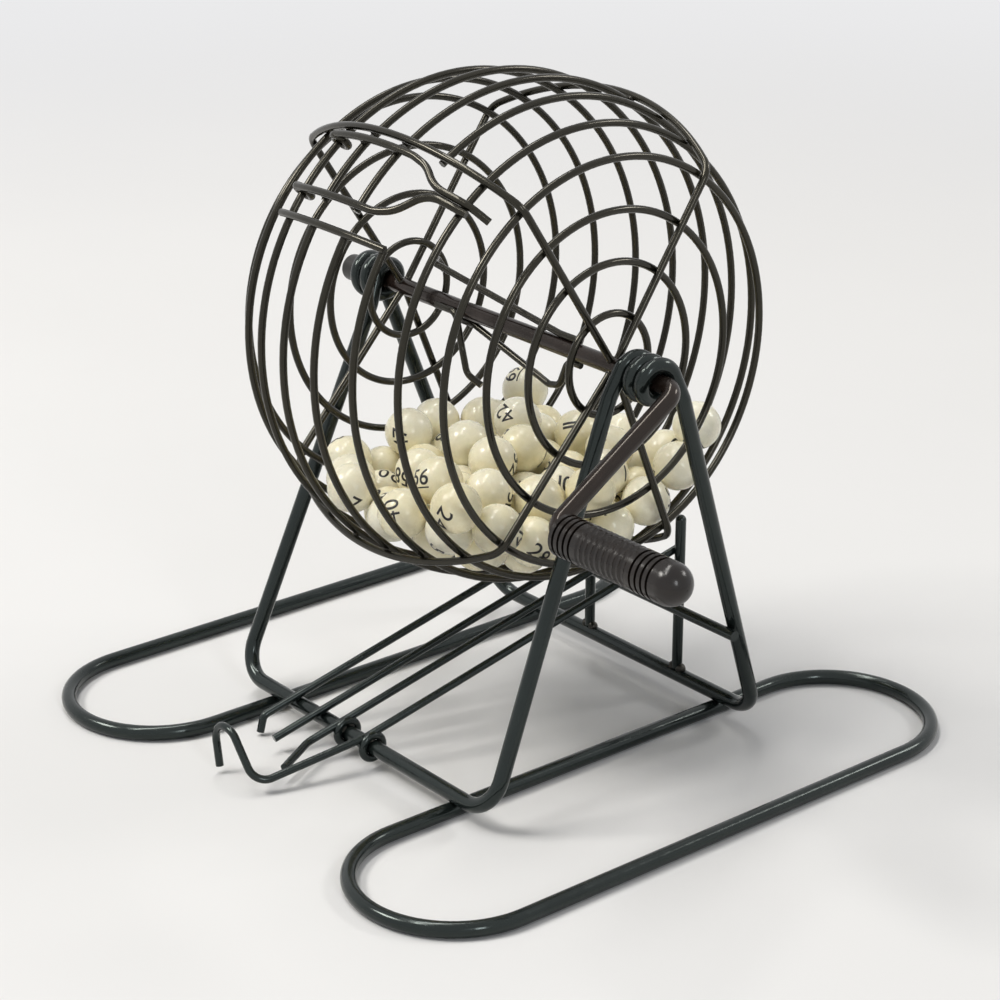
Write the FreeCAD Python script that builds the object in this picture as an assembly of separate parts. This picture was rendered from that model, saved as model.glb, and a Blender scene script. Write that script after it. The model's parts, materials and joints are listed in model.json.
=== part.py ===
"""Tabletop bingo cage: a barrel of wire rings on an axle, in a bent-wire stand.

Frame: the origin is on the table under the middle of the cage.  X runs along the axle
towards the crank, Y runs to the back, Z is up.  All sizes are in millimetres.

The stand is an A-frame wire with a coil at each apex.  The axle runs in the coils, is bent
into the crank on one side and carries the cage.  The cage has a sprung wire door, and a
sloping chute under it leads the drawn ball to a stop in front of the stand.
"""
import FreeCAD, Part
import math
import os

from FreeCAD import Vector

# ---------------------------------------------------------------- driving dimensions
# Wires
STAND_WIRE = 5.0            # diameter of the A-frame and base loops
CAGE_WIRE = 2.4             # diameter of the rings, ribs and door wires
RAIL_WIRE = 2.6             # diameter of the chute rails
POST_WIRE = 3.6             # diameter of the two chute posts
AXLE_WIRE = 5.6             # diameter of the axle and crank
SELECTOR_WIRE = 2.2         # diameter of the selector wires on the axle
WELD_GAP = 0.05             # spot-welded wires lie this close to each other

# Cage
CROWN_RADIUS = 82.8         # centreline of a rib at the middle of the barrel
BARREL_RADIUS = 92.5        # curvature of the ribs along the barrel
RIB_FACE_X = 52.3           # centreline of the ribs across the flat ends
RIB_CORNER = 7.0            # bend of a rib between the end and the barrel
RIB_ANGLES = (56, 123, 228, 292)
RING_PITCH = 15.8           # spacing of the rings, less than a ball
BARREL_RINGS = 3            # rings on each half of the barrel
FACE_RINGS = 3              # rings on each flat end, inside the corner ring
CORNER_RING_ANGLE = 15.0    # place of the corner ring on the rib's corner bend

# Door
DOOR_TOP_ANGLE = 126.0      # upper door rod
DOOR_LOW_ANGLE = 140.5      # lower door rod
SILL_ANGLE = 147.0          # fixed bar that carries the cut ends of the rings
DOOR_EDGE_ANGLE = 123.9     # cut ends of the rings beside the rib
EYE_CLEARANCE = 0.35        # between a door eye and the ring that it turns on
DOOR_LIFT = 0.1             # further play of the door rods over the rings
DOOR_BEND = 12.0            # bends of the door rods towards the tongue
DOOR_TURN_BACK = 7.2        # the rods leave their straight run this far before the ring
DOOR_TONGUE_RUN = 13.0      # length along the axle in which the rods come together
TONGUE_REACH = 8.0          # tongue beyond the ring that it grips
TONGUE_HOOK = 2.3           # the tongue's tip dips this far behind that ring
FIRST_BEND_SHARE = 0.2      # of the rods' way together, at their first bend
TONGUE_SHIFT = 2.0          # degrees that the tongue lies above the middle of the door
SLAT_OVERHANG = 1.2         # degrees of a slat beyond each rod

# Stand
TABLE_CLEARANCE = 52.7      # space under the barrel's middle
FRONT_FOOT_Y = -60.0
REAR_FOOT_Y = 52.0
FOOT_BEND = 11.0
LEG_LEAN = 0.5              # crossbar corners lie this far inside the coils' middles
COIL_SPACE = 5.0            # between the cage's flat end and a coil
COIL_PASSES = 2             # whole turns besides the part turn from leg to leg
COIL_LEAD = 9.0             # wire that leaves a coil along its slope before the leg
COIL_CLEARANCE = 0.1        # radial running clearance of the axle in its coils
LOOP_INSIDE = 18.5          # reach of each base loop inside the crossbar's corner
LOOP_OUTSIDE = 44.5         # and outside it
LOOP_FRONT_Y = -116.0
LOOP_REAR_Y = 108.0
UPPER_BAR_Z = 44.0          # second crossbar between the rear legs

# Chute
RAIL_FRONT_X = (-33.1, -19.2, -8.2, 5.4)    # the four rails where they cross the front bar
RAIL_FRONT_Y = (-73.5, -78.5, -73.5, -100.0)    # front ends of the rails
CHUTE_SKEW = 0.18           # sideways run of the chute for each millimetre to the back
STOP_SLOPE = 0.19           # fall of the right rail in front of the front bar
WRAP_SWELL = 1.05           # wire pressed round the front bar is this much thicker
WRAP_SHIFT = 1.0            # the wraps lie this far to the right of their rails
STOP_HEIGHT = 18.0          # top of the ball stop
STOP_WIDTH = 22.0           # reach of the ball stop across the chute
FLOOR_RAIL_OVERHANG = 9.0   # of the two middle rails behind the upper bar
POST_CLEARANCE = 2.6        # between the posts' tops and the turning cage

# Crank
CRANK_RADIUS = 58.0
CRANK_ANGLE = 213.0         # from +Y towards +Z, at rest
CRANK_BEND = 5.0
GRIP_LENGTH = 52.0
GRIP_DIAMETER = 13.0
GRIP_CHAMFER = 0.8
GRIP_GROOVES = 4            # at each end of the grip
GROOVE_PITCH = 2.3
GROOVE_WIDTH = 0.9
GROOVE_DEPTH = 0.8
GROOVE_MARGIN = 2.2         # from the grip's inner end to its first groove
GRIP_RIBS = 9               # on the grip's middle
RIB_DEPTH = 0.35
GRIP_CLEARANCE = 0.1        # radial running clearance of the grip on its pin
PIN_HEAD = 0.5              # step of the head that keeps the grip on its pin
PIN_HEAD_LENGTH = 1.6
CAP_DIAMETER = 9.0
CAP_LENGTH = 6.0
CAP_WALL = 1.5              # end wall of the cap on the axle's far end
CAP_FILLET = 1.2
END_PLAY = 0.3              # between the cap and its coil

# Balls
BALL_DIAMETER = 15.9
BALL_COUNT = 75
BALL_GAP = 0.2              # space kept between balls
WALL_GAP = 0.4              # space kept between the balls and the turning rings and eyes
SETTLE_STEPS = 3000

# ---------------------------------------------------------------- derived sizes
AXLE_HEIGHT = CROWN_RADIUS + TABLE_CLEARANCE
STAND_R = STAND_WIRE / 2
CAGE_R = CAGE_WIRE / 2
RAIL_R = RAIL_WIRE / 2
POST_R = POST_WIRE / 2
AXLE_R = AXLE_WIRE / 2
SELECTOR_R = SELECTOR_WIRE / 2
RING_INSET = CAGE_WIRE + WELD_GAP           # rings lie this far inside the ribs
BARREL_CENTRE = CROWN_RADIUS - BARREL_RADIUS
BAR_Z = STAND_WIRE + WELD_GAP + STAND_R     # crossbars lie on the base loops
COIL_RADIUS = AXLE_R + COIL_CLEARANCE + STAND_R
COIL_PITCH = STAND_WIRE + WELD_GAP
EYE_RADIUS = CAGE_R + EYE_CLEARANCE + CAGE_R    # of the wire's centreline
STRAIGHT = 0.01             # a corner that turns less than this, in radians, is no bend
BEND_SHARE = 0.48           # most of a run that the bend at one of its ends may take
X_AXIS = Vector(1, 0, 0)
Z_AXIS = Vector(0, 0, 1)


# ---------------------------------------------------------------- wire helpers
def bent_path(points, bends):
    """Straight runs through the points, joined by tangent arcs, with a bend for each corner."""
    edges = []
    start = points[0]
    for before, corner, after, bend in zip(points, points[1:], points[2:], bends):
        incoming = (corner - before).normalize()
        outgoing = (after - corner).normalize()
        turn = incoming.getAngle(outgoing)
        if turn < STRAIGHT:
            continue
        shorter = min(before.distanceToPoint(corner), corner.distanceToPoint(after))
        radius = min(bend, BEND_SHARE * shorter / math.tan(turn / 2))
        setback = radius * math.tan(turn / 2)
        first = corner - incoming * setback
        last = corner + outgoing * setback
        inward = (outgoing - incoming).normalize()
        centre_distance = radius / math.cos(turn / 2)
        middle = corner + inward * (centre_distance - radius)
        edges.append(Part.LineSegment(start, first).toShape())
        edges.append(Part.Arc(first, middle, last).toShape())
        start = last
    edges.append(Part.LineSegment(start, points[-1]).toShape())
    return Part.Wire(edges)


def swept(path, radius):
    """A round wire along a path of straight runs and arcs."""
    first = path.Edges[0]
    start = first.valueAt(first.FirstParameter)
    tangent = first.tangentAt(first.FirstParameter)
    profile = Part.Wire([Part.makeCircle(radius, start, tangent)])
    return path.makePipeShell([profile], True, False)


def bent_wire(points, bend, radius):
    return swept(bent_path(points, [bend] * len(points)), radius)


def rod(start, end, radius):
    along = end - start
    return Part.makeCylinder(radius, along.Length, start, along)


def arc_wire(centre, normal, start, angle, bend_radius, radius):
    """Part of a torus: from the direction `start`, through `angle` degrees about `normal`."""
    ring = Part.makeTorus(bend_radius, radius, Vector(), Z_AXIS, -180, 180, angle)
    normal = Vector(normal).normalize()
    start = Vector(start).normalize()
    side = normal.cross(start)
    matrix = FreeCAD.Matrix(
        start.x, side.x, normal.x, centre.x,
        start.y, side.y, normal.y, centre.y,
        start.z, side.z, normal.z, centre.z,
        0, 0, 0, 1,
    )
    ring.transformShape(matrix)
    return ring


def fused(shapes):
    joined = shapes[0].multiFuse(shapes[1:])
    return joined.removeSplitter().Solids[0]


# ---------------------------------------------------------------- the cage's surface
def around_axle(x, radius, angle):
    """The point at a radius from the axle, with its angle from +Y towards +Z in degrees."""
    turn = math.radians(angle)
    return Vector(x, radius * math.cos(turn), AXLE_HEIGHT + radius * math.sin(turn))


def barrel_radius(x, inset=0.0):
    """Distance from the axle of the ribs' centreline, or of a surface inside it."""
    return BARREL_CENTRE + math.sqrt((BARREL_RADIUS - inset) ** 2 - x * x)


def on_barrel(x, angle, inset=0.0):
    return around_axle(x, barrel_radius(x, inset), angle)


def corner_centre():
    """Centre of the ribs' corner bend, as (x, distance from the axle)."""
    x = RIB_FACE_X - RIB_CORNER
    reach = BARREL_RADIUS - RIB_CORNER
    return x, BARREL_CENTRE + math.sqrt(reach * reach - x * x)


def ring_places():
    """(x, radius) of the rings on one half, from the middle of the barrel to the hub."""
    places = []
    track = BARREL_RADIUS - RING_INSET
    for count in range(BARREL_RINGS):
        turn = (count + 0.5) * RING_PITCH / track
        places.append((track * math.sin(turn), BARREL_CENTRE + track * math.cos(turn)))
    corner_x, corner_radius = corner_centre()
    turn = math.radians(CORNER_RING_ANGLE)
    inner = RIB_CORNER - RING_INSET
    places.append((corner_x + inner * math.cos(turn), corner_radius + inner * math.sin(turn)))
    for count in range(FACE_RINGS):
        radius = places[BARREL_RINGS][1] * (FACE_RINGS - count) / (FACE_RINGS + 1)
        places.append((RIB_FACE_X - RING_INSET, radius))
    return places


def door_span():
    """The rings at the door: x of the hinge ring, and of the ring that the tongue grips."""
    places = ring_places()
    return -places[1][0], places[2][0]


# ---------------------------------------------------------------- where stand and axle meet
def leg_line(foot_y):
    """Top of a leg where it leaves its coil, as (angle round the axle, y, z)."""
    drop = AXLE_HEIGHT - BAR_Z
    side = 1 if foot_y > 0 else -1
    reach = math.hypot(foot_y, drop)
    # the leg is a tangent from the foot's corner to the coil's centreline
    to_foot = math.atan2(abs(foot_y), drop)
    open_angle = math.acos(COIL_RADIUS / reach)
    lift = open_angle + to_foot - math.pi / 2
    angle = math.degrees(lift) if side > 0 else 180 - math.degrees(lift)
    turn = math.radians(angle)
    return angle, COIL_RADIUS * math.cos(turn), AXLE_HEIGHT + COIL_RADIUS * math.sin(turn)


def coil_turn():
    """Degrees of the coil between the two legs."""
    front_angle = leg_line(FRONT_FOOT_Y)[0]
    rear_angle = leg_line(REAR_FOOT_Y)[0]
    return 360 * COIL_PASSES + front_angle - rear_angle


COIL_HALF = COIL_PITCH * coil_turn() / 720   # half of a coil's length, between wire centres
COIL_CENTRE_X = RIB_FACE_X + CAGE_R + COIL_SPACE + STAND_R + COIL_HALF
COIL_END_X = COIL_CENTRE_X + COIL_HALF + STAND_R
FOOT_X = COIL_CENTRE_X - LEG_LEAN            # corners of the two crossbars
CRANK_X = COIL_END_X + CRANK_BEND            # plane of the crank arm
AXLE_FAR_X = -(COIL_END_X + END_PLAY + CAP_LENGTH - CAP_WALL)


# ---------------------------------------------------------------- cage pieces
def ring(x, radius):
    return Part.makeTorus(radius, CAGE_R, Vector(x, 0, AXLE_HEIGHT), X_AXIS)


def cut_ring(x, radius):
    """A ring that is open across the doorway."""
    first = around_axle(0, 1, SILL_ANGLE) - Vector(0, 0, AXLE_HEIGHT)
    sweep = 360 - (SILL_ANGLE - DOOR_EDGE_ANGLE)
    return arc_wire(Vector(x, 0, AXLE_HEIGHT), X_AXIS, first, sweep, radius, CAGE_R)


def rib(angle):
    """One meridian wire from the axle, over the barrel and back to the axle."""
    corner_x, corner_radius = corner_centre()
    reach = BARREL_RADIUS - RIB_CORNER
    side = Vector(corner_x / reach, (corner_radius - BARREL_CENTRE) / reach)

    def place(x, radius):
        return around_axle(x, radius, angle)

    def corner_arc(sign):
        half = math.atan2(side.y, side.x) / 2
        middle_x = corner_x + RIB_CORNER * math.cos(half)
        middle_radius = corner_radius + RIB_CORNER * math.sin(half)
        face = place(sign * RIB_FACE_X, corner_radius)
        middle = place(sign * middle_x, middle_radius)
        barrel = place(sign * BARREL_RADIUS * side.x, BARREL_CENTRE + BARREL_RADIUS * side.y)
        return face, middle, barrel

    face, middle, barrel = corner_arc(1)
    far_face, far_middle, far_barrel = corner_arc(-1)
    edges = [
        Part.LineSegment(place(RIB_FACE_X, 0), face).toShape(),
        Part.Arc(face, middle, barrel).toShape(),
        Part.Arc(barrel, place(0, CROWN_RADIUS), far_barrel).toShape(),
        Part.Arc(far_barrel, far_middle, far_face).toShape(),
        Part.LineSegment(far_face, place(-RIB_FACE_X, 0)).toShape(),
    ]
    wire = swept(Part.Wire(edges), CAGE_R)
    clear = Part.makeCylinder(
        AXLE_R + WELD_GAP, 2 * RIB_FACE_X + 20, Vector(-RIB_FACE_X - 10, 0, AXLE_HEIGHT), X_AXIS
    )
    return wire.cut(clear).Solids[0]


def door_sill():
    """The fixed bar outside the rings that carries the cut ends under the door."""
    hinge_x = door_span()[0]
    end_x = ring_places()[1][0] + CAGE_WIRE
    start = on_barrel(hinge_x - CAGE_WIRE, SILL_ANGLE)
    middle = on_barrel(0, SILL_ANGLE)
    end = on_barrel(end_x, SILL_ANGLE)
    return swept(Part.Wire([Part.Arc(start, middle, end).toShape()]), CAGE_R)


def crank_shaft():
    """Axle, crank arm and grip pin: one bent wire with a small head on the pin."""
    arm_y = CRANK_RADIUS * math.cos(math.radians(CRANK_ANGLE))
    arm_z = AXLE_HEIGHT + CRANK_RADIUS * math.sin(math.radians(CRANK_ANGLE))
    pin_end = CRANK_X + CRANK_BEND + GRIP_LENGTH - GRIP_DIAMETER
    points = [
        Vector(AXLE_FAR_X, 0, AXLE_HEIGHT),
        Vector(CRANK_X, 0, AXLE_HEIGHT),
        Vector(CRANK_X, arm_y, arm_z),
        Vector(pin_end, arm_y, arm_z),
    ]
    wire = bent_wire(points, CRANK_BEND, AXLE_R)
    head = Part.makeCylinder(AXLE_R + PIN_HEAD, PIN_HEAD_LENGTH, Vector(pin_end, arm_y, arm_z), X_AXIS)
    return fused([wire, head])


def grip():
    """Plastic sleeve with a blind bore, grooves at both ends and a domed tip."""
    left = CRANK_X + CRANK_BEND + WELD_GAP
    outer = GRIP_DIAMETER / 2
    bore = AXLE_R + GRIP_CLEARANCE
    pin_end = CRANK_X + CRANK_BEND + GRIP_LENGTH - GRIP_DIAMETER
    pocket = AXLE_R + PIN_HEAD + GRIP_CLEARANCE
    dome_start = left + GRIP_LENGTH - outer
    profile = [(left, bore), (left, outer - GRIP_CHAMFER), (left + GRIP_CHAMFER, outer)]
    floor = outer - GROOVE_DEPTH
    valley = outer - RIB_DEPTH
    banded = GROOVE_MARGIN + GRIP_GROOVES * GROOVE_PITCH

    def grooves(start):
        for count in range(GRIP_GROOVES):
            x = start + count * GROOVE_PITCH
            end = x + GROOVE_WIDTH
            profile.extend([(x, outer), (x, floor), (end, floor), (end, outer)])

    grooves(left + GROOVE_MARGIN)
    waist_start = left + banded + GROOVE_WIDTH
    waist_end = dome_start - banded - GROOVE_WIDTH
    step = (waist_end - waist_start) / GRIP_RIBS
    for count in range(GRIP_RIBS):
        x = waist_start + count * step
        profile.extend([(x, outer), (x + 0.3 * step, valley), (x + 0.7 * step, valley)])
    profile.append((waist_end, outer))
    grooves(dome_start - banded + GROOVE_WIDTH)
    profile.append((dome_start, outer))

    def point(x, radius):
        return Vector(x, 0, radius)

    edges = []
    for first, last in zip(profile, profile[1:]):
        edges.append(Part.LineSegment(point(*first), point(*last)).toShape())
    tip = (dome_start + outer, 0)
    middle = (dome_start + outer * math.sqrt(0.5), outer * math.sqrt(0.5))
    edges.append(Part.Arc(point(*profile[-1]), point(*middle), point(*tip)).toShape())
    pocket_end = pin_end + PIN_HEAD_LENGTH + END_PLAY
    step_x = pin_end - END_PLAY
    inside = [tip, (pocket_end, 0), (pocket_end, pocket), (step_x, pocket), (step_x, bore), profile[0]]
    for first, last in zip(inside, inside[1:]):
        edges.append(Part.LineSegment(point(*first), point(*last)).toShape())
    face = Part.Face(Part.Wire(edges))
    sleeve = face.revolve(Vector(), X_AXIS, 360).Solids[0]
    arm_y = CRANK_RADIUS * math.cos(math.radians(CRANK_ANGLE))
    arm_z = AXLE_HEIGHT + CRANK_RADIUS * math.sin(math.radians(CRANK_ANGLE))
    sleeve.translate(Vector(0, arm_y, arm_z))
    return sleeve


def axle_cap():
    """Push-on cap on the far end of the axle."""
    start = AXLE_FAR_X - CAP_WALL
    outer = Part.makeCylinder(CAP_DIAMETER / 2, CAP_LENGTH, Vector(start, 0, AXLE_HEIGHT), X_AXIS)
    edges = [edge for edge in outer.Edges if edge.BoundBox.XMax < start + CAP_FILLET]
    outer = outer.makeFillet(CAP_FILLET, edges)
    end = Vector(AXLE_FAR_X - WELD_GAP, 0, AXLE_HEIGHT)
    bore = Part.makeCylinder(AXLE_R + WELD_GAP, CAP_LENGTH, end, X_AXIS)
    return outer.cut(bore).Solids[0]


def selector_pieces():
    """Three bent wires welded on the axle, which stir the balls and pick one up."""
    on_axle = AXLE_R + SELECTOR_R + WELD_GAP

    def place(x, up, back=0.0):
        return Vector(x, back, AXLE_HEIGHT + up)

    upper = [place(36, on_axle), place(27, on_axle), place(-36, 12), place(-41, 12, 5), place(-41, 7, 8)]
    lower = [place(-24, -on_axle), place(-15, -on_axle), place(22, -14), place(27, -13),
             place(31, -on_axle), place(37, -on_axle)]
    finger = [place(-30, 0, -on_axle), place(-20, 0, -on_axle), place(-14, -11, -6),
              place(-13, -19, -5), place(-8, -22, -3)]
    return {
        "selector_upper_wire": bent_wire(upper, 4, SELECTOR_R),
        "selector_lower_wire": bent_wire(lower, 4, SELECTOR_R),
        "selector_finger": bent_wire(finger, 4, SELECTOR_R),
    }


# ---------------------------------------------------------------- door pieces
def hinge_point(angle):
    """Centre of the hinge ring's wire at one door eye."""
    x, radius = ring_places()[1]
    return around_axle(-x, radius, angle)


def door_eye(angle):
    """A loop of the door wire round the hinge ring, square to the hinge line."""
    hinge_line = hinge_point(DOOR_LOW_ANGLE) - hinge_point(DOOR_TOP_ANGLE)
    return Part.makeTorus(EYE_RADIUS, CAGE_R, hinge_point(angle), hinge_line)


def door_rod(angle, tongue_angle, turn_x, hook):
    """A door rod from its eye to the tongue, where both rods run side by side."""
    hinge_x, grip_x = door_span()
    out = -(EYE_CLEARANCE + DOOR_LIFT)
    runs = math.ceil((turn_x - hinge_x) / (2 * CAGE_WIRE))
    points = []
    for count in range(runs + 1):
        points.append(on_barrel(hinge_x + (turn_x - hinge_x) * count / runs, angle, out))
    bends = [BARREL_RADIUS] * (runs - 1)
    first_bend_x = turn_x + DOOR_TONGUE_RUN / 2
    first_bend_angle = angle + FIRST_BEND_SHARE * (tongue_angle - angle)
    points.append(on_barrel(first_bend_x, first_bend_angle, out))
    points.append(on_barrel(turn_x + DOOR_TONGUE_RUN, tongue_angle, out))
    points.append(on_barrel(grip_x, tongue_angle, out))
    points.append(on_barrel(grip_x + TONGUE_REACH / 2, tongue_angle, out))
    if hook:
        points.append(on_barrel(grip_x + TONGUE_REACH, tongue_angle, TONGUE_HOOK))
    bends.extend([DOOR_BEND] * (len(points) - 2 - len(bends)))
    return fused([swept(bent_path(points, bends), CAGE_R), door_eye(angle)])


def door_slat(x):
    """A short piece of ring under the two door rods."""
    radius = barrel_radius(x, RING_INSET - EYE_CLEARANCE - DOOR_LIFT)
    first = around_axle(0, 1, DOOR_TOP_ANGLE - SLAT_OVERHANG) - Vector(0, 0, AXLE_HEIGHT)
    sweep = DOOR_LOW_ANGLE - DOOR_TOP_ANGLE + 2 * SLAT_OVERHANG
    return arc_wire(Vector(x, 0, AXLE_HEIGHT), X_AXIS, first, sweep, radius, CAGE_R)


# ---------------------------------------------------------------- stand pieces
def leg_top_x(front):
    """Place along the axle of a leg's top: the front leg starts the coil, the rear ends it."""
    return COIL_CENTRE_X - COIL_HALF if front else COIL_CENTRE_X + COIL_HALF


def leg_ends(foot_y, side):
    """Top of a leg at its coil, the end of its lead from the coil, and its corner at the bar.

    The lead carries on along the coil's own slope, so leg and coil meet face to face.
    """
    angle, top_y, top_z = leg_line(foot_y)
    front = foot_y < 0
    top = Vector(side * leg_top_x(front), top_y, top_z)
    turn = math.radians(angle)
    down = 1 if front else -1
    lead = Vector(
        -side * down * COIL_PITCH / (2 * math.pi),
        -down * COIL_RADIUS * math.sin(turn),
        down * COIL_RADIUS * math.cos(turn),
    ).normalize()
    corner = Vector(side * FOOT_X, foot_y, BAR_Z)
    return top, top + lead * COIL_LEAD, corner


def leg_frame(foot_y):
    """Two legs and their crossbar, bent from one wire."""
    left = leg_ends(foot_y, -1)
    right = leg_ends(foot_y, 1)
    points = [left[0], left[1], left[2], right[2], right[1], right[0]]
    return bent_wire(points, FOOT_BEND, STAND_R)


def apex_coil(side):
    """The coil that the axle runs in, wound between the tops of the two legs."""
    turn = coil_turn()
    helix = Part.makeHelix(COIL_PITCH, COIL_PITCH * turn / 360, COIL_RADIUS)
    start = helix.Edges[0]
    profile = Part.Wire([Part.makeCircle(
        STAND_R, start.valueAt(start.FirstParameter), start.tangentAt(start.FirstParameter)
    )])
    coil = helix.makePipeShell([profile], True, True)
    # lay the helix along the axle on the left side, starting at the top of the rear leg
    first = math.radians(leg_line(REAR_FOOT_Y)[0])
    coil.transformShape(FreeCAD.Matrix(
        0, 0, 1, -leg_top_x(False),
        math.cos(first), -math.sin(first), 0, 0,
        math.sin(first), math.cos(first), 0, AXLE_HEIGHT,
        0, 0, 0, 1,
    ))
    return coil.mirror(Vector(), X_AXIS) if side > 0 else coil


def base_loop(side):
    """A flat racetrack of wire on the table, under both crossbars."""
    radius = (LOOP_OUTSIDE + LOOP_INSIDE) / 2
    middle = side * (FOOT_X + (LOOP_OUTSIDE - LOOP_INSIDE) / 2)
    front = LOOP_FRONT_Y + radius
    rear = LOOP_REAR_Y - radius
    z = STAND_R
    pieces = [
        arc_wire(Vector(middle, front, z), Z_AXIS, Vector(-1, 0, 0), 180, radius, STAND_R),
        arc_wire(Vector(middle, rear, z), Z_AXIS, Vector(1, 0, 0), 180, radius, STAND_R),
        rod(Vector(middle - radius, front, z), Vector(middle - radius, rear, z), STAND_R),
        rod(Vector(middle + radius, front, z), Vector(middle + radius, rear, z), STAND_R),
    ]
    return fused(pieces)


def upper_bar():
    """The bar in front of the rear legs that carries the back of the chute."""
    y, z = upper_bar_place()
    top, lead, corner = leg_ends(REAR_FOOT_Y, 1)
    share = (UPPER_BAR_Z - corner.z) / (top.z - corner.z)
    half = corner.x + share * (top.x - corner.x) + STAND_WIRE
    return rod(Vector(-half, y, z), Vector(half, y, z), POST_R)


def upper_bar_place():
    """(y, z) of the upper bar's centreline, beside the rear legs."""
    top, lead, corner = leg_ends(REAR_FOOT_Y, 1)
    slope = math.atan2(corner.y - top.y, top.z - corner.z)
    leg_y = corner.y - (UPPER_BAR_Z - corner.z) * math.tan(slope)
    offset = STAND_R + POST_R + WELD_GAP
    return leg_y - offset * math.cos(slope), UPPER_BAR_Z - offset * math.sin(slope)


# ---------------------------------------------------------------- chute pieces
def rail_line():
    """(y, z) of a rail over the front bar, and its slope, from bar to bar."""
    upper_y, upper_z = upper_bar_place()
    run = upper_y - FRONT_FOOT_Y
    rise = upper_z - BAR_Z
    offset = STAND_R + RAIL_R + WELD_GAP
    # the rails touch both bars, of which the upper one is thinner
    lean = math.atan2(rise, run) - math.asin((STAND_R - POST_R) / math.hypot(run, rise))
    return FRONT_FOOT_Y - offset * math.sin(lean), BAR_Z + offset * math.cos(lean), math.tan(lean)


def on_rail(index, y):
    """The point of a straight rail at a given distance to the back."""
    start_y, start_z, slope = rail_line()
    x = RAIL_FRONT_X[index] + CHUTE_SKEW * (y - start_y)
    return Vector(x, y, start_z + slope * (y - start_y))


def bar_wrap(index):
    """One turn of a rail's wire round the front bar, beside the rail."""
    centre = Vector(RAIL_FRONT_X[index] + WRAP_SHIFT, FRONT_FOOT_Y, BAR_Z)
    wire_radius = WRAP_SWELL * RAIL_R
    radius = STAND_R + wire_radius + WELD_GAP
    return arc_wire(centre, X_AXIS, -Z_AXIS, 360, radius, wire_radius)


def rail_back_y(index):
    outer = index in (0, 3)
    return REAR_FOOT_Y + POST_R if outer else upper_bar_place()[0] + FLOOR_RAIL_OVERHANG


def stop_rail_point(y):
    """The right rail in front of the front bar, where it is nearly level."""
    over_bar = on_rail(3, rail_line()[0])
    fall = STOP_SLOPE * (over_bar.y - y)
    return Vector(over_bar.x + CHUTE_SKEW * (y - over_bar.y), y, over_bar.z - fall)


def left_rail():
    """Left side of the chute; its front end is turned down to the table."""
    back = on_rail(0, rail_back_y(0))
    front = on_rail(0, RAIL_FRONT_Y[0])
    foot = Vector(front.x, front.y - 1.5, RAIL_R)
    return bent_wire([back, front, foot], 2.5, RAIL_R)


def floor_rail_left():
    return rod(on_rail(1, rail_back_y(1)), on_rail(1, RAIL_FRONT_Y[1]), RAIL_R)


def floor_rail_right():
    """Right floor rail; its front end is bent across to the right side rail."""
    back = on_rail(2, rail_back_y(2))
    front = on_rail(2, RAIL_FRONT_Y[2])
    side = stop_rail_point(RAIL_FRONT_Y[2] - 15)
    meet = Vector(side.x - RAIL_WIRE - WELD_GAP, side.y, side.z)
    return fused([bent_wire([back, front, meet], 5, RAIL_R), bar_wrap(2)])


def right_rail():
    """Right side of the chute; in front it rises across the chute as the ball stop."""
    over_bar = on_rail(3, rail_line()[0])
    front_y = RAIL_FRONT_Y[3]
    corner = stop_rail_point(front_y)

    def across(share, height):
        return Vector(corner.x - share * STOP_WIDTH, front_y, height)

    points = [
        on_rail(3, rail_back_y(3)),
        over_bar,
        corner,
        across(0.36, 0.72 * STOP_HEIGHT),
        across(0.55, STOP_HEIGHT),
        across(0.85, STOP_HEIGHT),
        across(1.0, 0.75 * STOP_HEIGHT),
        across(0.92, RAIL_WIRE),
    ]
    return fused([bent_wire(points, 6, RAIL_R), bar_wrap(3)])


def post(index, side):
    """Upright on the rear crossbar beside the back end of a side rail."""
    rail = on_rail(index, REAR_FOOT_Y)
    x = rail.x + side * (RAIL_R + POST_R + WELD_GAP)
    foot = Vector(x, REAR_FOOT_Y, BAR_Z + STAND_R + WELD_GAP)
    reach = CROWN_RADIUS + CAGE_R + POST_R + POST_CLEARANCE
    top = Vector(x, REAR_FOOT_Y, AXLE_HEIGHT - math.sqrt(reach ** 2 - REAR_FOOT_Y ** 2))
    return fused([rod(foot, top, POST_R), Part.makeSphere(POST_R, top)])


# ---------------------------------------------------------------- balls
class Scatter:
    """A small repeatable number source, so the heap comes out the same each time."""

    def __init__(self, seed):
        self.state = seed

    def next(self, width):
        self.state = (self.state * 16807) % 2147483647
        return (self.state / 2147483647 - 0.5) * width


def part_balls(centres, spacing):
    """Push each pair of balls that is closer than the spacing apart, half each."""
    order = sorted(centres)
    for place, a in enumerate(order):
        for b in order[place + 1:]:
            if b[0] - a[0] > spacing:
                break
            distance = math.dist(a, b)
            if distance < spacing:
                push = 0.5 * (spacing - distance) / distance
                for axis in range(3):
                    part = push * (b[axis] - a[axis])
                    a[axis] -= part
                    b[axis] += part


def keep_in_barrel(centre, half_length, reach):
    centre[0] = max(-half_length, min(half_length, centre[0]))
    limit = BARREL_CENTRE + math.sqrt(reach * reach - centre[0] ** 2)
    radius = math.hypot(centre[1], centre[2])
    if radius > limit:
        centre[1] *= limit / radius
        centre[2] *= limit / radius


def keep_off_eyes(centre, eye_x, eye_ring, room):
    """Keep a ball out of the channel that the door's eyes sweep as the cage turns."""
    radius = math.hypot(centre[1], centre[2])
    along = centre[0] - eye_x
    inward = eye_ring - radius
    distance = math.hypot(along, inward)
    if distance < room:
        scale = (eye_ring - inward * room / distance) / radius
        centre[0] = eye_x + along * room / distance
        centre[1] *= scale
        centre[2] *= scale


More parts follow.
